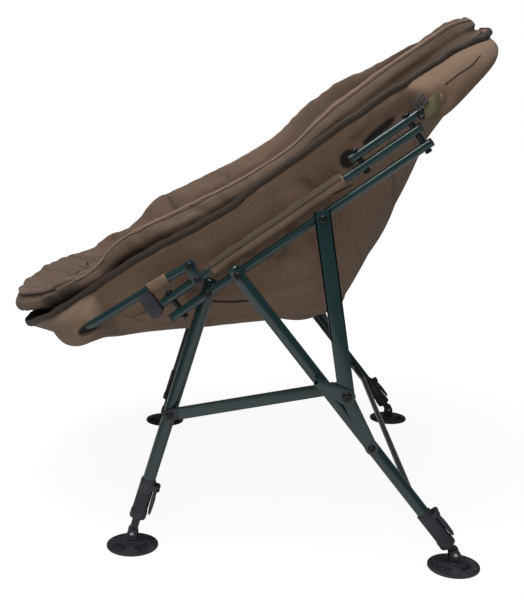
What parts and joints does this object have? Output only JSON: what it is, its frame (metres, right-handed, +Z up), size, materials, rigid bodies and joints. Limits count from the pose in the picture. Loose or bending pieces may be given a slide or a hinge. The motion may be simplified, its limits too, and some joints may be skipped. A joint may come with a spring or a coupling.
{
  "type": "folding fishing chair",
  "caption": "Reclined bucket-seat fishing chair on a folding tubular frame with telescopic legs, lever locks and tilting mud feet",
  "frame": {"origin": "centre of the footprint box, on the ground under the feet", "axes": "X across the seat (sitter's left is +X), Y from the seat's front to its back, Z up"},
  "size_m": [0.809, 0.783, 0.8332],
  "materials": {
    "frame_steel": "dark green gloss paint on steel tube",
    "black_hardware": "black-finished bolts, rivets and plates",
    "black_plastic": "matte black moulded nylon",
    "seat_canvas": "olive-brown coated woven polyester",
    "seat_padding": "brown brushed polyester over foam"
  },
  "bodies": {
    "seat_frame": {"rail_lower_left": "frame_steel", "rail_lower_right": "frame_steel", "rail_upper_left": "frame_steel", "rail_upper_right": "frame_steel", "hinge_plate_left": "black_hardware", "hinge_plate_right": "black_hardware", "hoop_pivot_bolt_left": "black_hardware", "hoop_pivot_bolt_right": "black_hardware", "rail_bolt_front_left": "black_hardware", "rail_bolt_front_right": "black_hardware", "rail_bolt_rear_left": "black_hardware", "rail_bolt_rear_right": "black_hardware", "hoop_bolt_left": "black_hardware", "hoop_bolt_right": "black_hardware", "rear_pivot_bolt_left": "black_hardware", "rear_pivot_bolt_right": "black_hardware", "front_pivot_bolt_left": "black_hardware", "front_pivot_bolt_right": "black_hardware", "strut_pivot_bolt_left": "black_hardware", "strut_pivot_bolt_right": "black_hardware", "back_hoop": "frame_steel", "seat_shell_rear": "seat_canvas", "seat_cushion_rear": "seat_padding"},
    "front_hoop": {"front_hoop": "frame_steel", "saddle_block_left": "black_plastic", "saddle_block_right": "black_plastic", "seat_shell_front": "seat_canvas", "seat_cushion_front": "seat_padding"},
    "rear_legs": {"rear_leg_left": "frame_steel", "rear_leg_right": "frame_steel", "rear_lock_sleeve_left": "black_plastic", "rear_lock_sleeve_right": "black_plastic", "leg_cross_tube": "frame_steel"},
    "front_leg_left": {"front_leg_left": "frame_steel", "front_lock_sleeve_left": "black_plastic"},
    "strut_left": {"strut_left": "frame_steel", "knee_bolt_left": "black_hardware"},
    "lower_link_left": {"lower_link_left": "frame_steel"},
    "front_link_left": {"front_link_left": "frame_steel"},
    "leg_latch_left": {"leg_latch_left": "black_hardware"},
    "rear_inner_leg_left": {"rear_inner_leg_left": "black_plastic"},
    "rear_lock_lever_left": {"rear_lock_lever_left": "black_plastic"},
    "rear_foot_left": {"rear_foot_left": "black_plastic"},
    "front_inner_leg_left": {"front_inner_leg_left": "black_plastic"},
    "front_lock_lever_left": {"front_lock_lever_left": "black_plastic"},
    "front_foot_left": {"front_foot_left": "black_plastic"},
    "front_leg_right": {"front_leg_right": "frame_steel", "front_lock_sleeve_right": "black_plastic"},
    "strut_right": {"strut_right": "frame_steel", "knee_bolt_right": "black_hardware"},
    "lower_link_right": {"lower_link_right": "frame_steel"},
    "front_link_right": {"front_link_right": "frame_steel"},
    "leg_latch_right": {"leg_latch_right": "black_hardware"},
    "rear_inner_leg_right": {"rear_inner_leg_right": "black_plastic"},
    "rear_lock_lever_right": {"rear_lock_lever_right": "black_plastic"},
    "rear_foot_right": {"rear_foot_right": "black_plastic"},
    "front_inner_leg_right": {"front_inner_leg_right": "black_plastic"},
    "front_lock_lever_right": {"front_lock_lever_right": "black_plastic"},
    "front_foot_right": {"front_foot_right": "black_plastic"}
  },
  "joints": [
    {"name": "legs_fold", "type": "hinge", "parent": "seat_frame", "child": "rear_legs", "pos_m": [0, -0.0032, 0.4431], "axis": [1, 0, 0], "range_deg": [0, 80.8]},
    {"name": "front_hoop_fold", "type": "hinge", "parent": "seat_frame", "child": "front_hoop", "pos_m": [0, -0.07328, 0.4522], "axis": [1, 0, 0], "range_deg": [-150, 0], "deforming": ["seat_shell_front", "seat_cushion_front"]},
    {"name": "front_leg_fold_left", "type": "hinge", "parent": "seat_frame", "child": "front_leg_left", "pos_m": [0.314, -0.04604, 0.41191], "axis": [1, 0, 0], "range_deg": [0, 131.47]},
    {"name": "strut_fold_left", "type": "hinge", "parent": "seat_frame", "child": "strut_left", "pos_m": [0.382, 0.11442, 0.52875], "axis": [1, 0, 0], "range_deg": [0, 114.89]},
    {"name": "lower_link_fold_left", "type": "hinge", "parent": "strut_left", "child": "lower_link_left", "pos_m": [0.379, 0.15979, 0.27177], "axis": [1, 0, 0], "range_deg": [-177.05, 0]},
    {"name": "front_link_fold_left", "type": "hinge", "parent": "front_leg_left", "child": "front_link_left", "pos_m": [0.33, -0.1009, 0.22062], "axis": [1, 0, 0], "range_deg": [-99.76, 0]},
    {"name": "leg_latch_swing_left", "type": "hinge", "parent": "strut_left", "child": "leg_latch_left", "pos_m": [0.386, 0.15979, 0.27177], "axis": [1, 0, 0], "range_deg": [-30, 0]},
    {"name": "rear_leg_extend_left", "type": "slide", "parent": "rear_legs", "child": "rear_inner_leg_left", "axis": [0, 0.6307, -0.776], "range_m": [0, 0.14]},
    {"name": "rear_foot_tilt_left", "type": "hinge", "parent": "rear_inner_leg_left", "child": "rear_foot_left", "pos_m": [0.3645, 0.3374, 0.024], "axis": [1, 0, 0], "range_deg": [-25, 25]},
    {"name": "rear_lock_release_left", "type": "hinge", "parent": "rear_legs", "child": "rear_lock_lever_left", "pos_m": [0.3645, 0.30535, 0.08944], "axis": [1, 0, 0], "range_deg": [0, 45]},
    {"name": "front_leg_extend_left", "type": "slide", "parent": "front_leg_left", "child": "front_inner_leg_left", "axis": [0, -0.2756, -0.9613], "range_m": [0, 0.14]},
    {"name": "front_foot_tilt_left", "type": "hinge", "parent": "front_inner_leg_left", "child": "front_foot_left", "pos_m": [0.314, -0.15726, 0.02404], "axis": [1, 0, 0], "range_deg": [-25, 25]},
    {"name": "front_lock_release_left", "type": "hinge", "parent": "front_leg_left", "child": "front_lock_lever_left", "pos_m": [0.314, -0.11931, 0.0969], "axis": [1, 0, 0], "range_deg": [0, 45]},
    {"name": "front_leg_fold_right", "type": "hinge", "parent": "seat_frame", "child": "front_leg_right", "pos_m": [-0.314, -0.04604, 0.41191], "axis": [1, 0, 0], "range_deg": [0, 131.47]},
    {"name": "strut_fold_right", "type": "hinge", "parent": "seat_frame", "child": "strut_right", "pos_m": [-0.382, 0.11442, 0.52875], "axis": [1, 0, 0], "range_deg": [0, 114.89]},
    {"name": "lower_link_fold_right", "type": "hinge", "parent": "strut_right", "child": "lower_link_right", "pos_m": [-0.379, 0.15979, 0.27177], "axis": [1, 0, 0], "range_deg": [-177.05, 0]},
    {"name": "front_link_fold_right", "type": "hinge", "parent": "front_leg_right", "child": "front_link_right", "pos_m": [-0.33, -0.1009, 0.22062], "axis": [1, 0, 0], "range_deg": [-99.76, 0]},
    {"name": "leg_latch_swing_right", "type": "hinge", "parent": "strut_right", "child": "leg_latch_right", "pos_m": [-0.386, 0.15979, 0.27177], "axis": [1, 0, 0], "range_deg": [-30, 0]},
    {"name": "rear_leg_extend_right", "type": "slide", "parent": "rear_legs", "child": "rear_inner_leg_right", "axis": [0, 0.6307, -0.776], "range_m": [0, 0.14]},
    {"name": "rear_foot_tilt_right", "type": "hinge", "parent": "rear_inner_leg_right", "child": "rear_foot_right", "pos_m": [-0.3645, 0.3374, 0.024], "axis": [1, 0, 0], "range_deg": [-25, 25]},
    {"name": "rear_lock_release_right", "type": "hinge", "parent": "rear_legs", "child": "rear_lock_lever_right", "pos_m": [-0.3645, 0.30535, 0.08944], "axis": [1, 0, 0], "range_deg": [0, 45]},
    {"name": "front_leg_extend_right", "type": "slide", "parent": "front_leg_right", "child": "front_inner_leg_right", "axis": [0, -0.2756, -0.9613], "range_m": [0, 0.14]},
    {"name": "front_foot_tilt_right", "type": "hinge", "parent": "front_inner_leg_right", "child": "front_foot_right", "pos_m": [-0.314, -0.15726, 0.02404], "axis": [1, 0, 0], "range_deg": [-25, 25]},
    {"name": "front_lock_release_right", "type": "hinge", "parent": "front_leg_right", "child": "front_lock_lever_right", "pos_m": [-0.314, -0.11931, 0.0969], "axis": [1, 0, 0], "range_deg": [0, 45]}
  ],
  "couplings": [
    {"joint": "front_leg_fold_left", "follows": "legs_fold", "ratio": 1.6265},
    {"joint": "strut_fold_left", "follows": "legs_fold", "ratio": 1.4213},
    {"joint": "lower_link_fold_left", "follows": "legs_fold", "ratio": -2.1906},
    {"joint": "front_link_fold_left", "follows": "legs_fold", "ratio": -1.2341},
    {"joint": "front_leg_fold_right", "follows": "legs_fold", "ratio": 1.6265},
    {"joint": "strut_fold_right", "follows": "legs_fold", "ratio": 1.4213},
    {"joint": "lower_link_fold_right", "follows": "legs_fold", "ratio": -2.1906},
    {"joint": "front_link_fold_right", "follows": "legs_fold", "ratio": -1.2341}
  ]
}
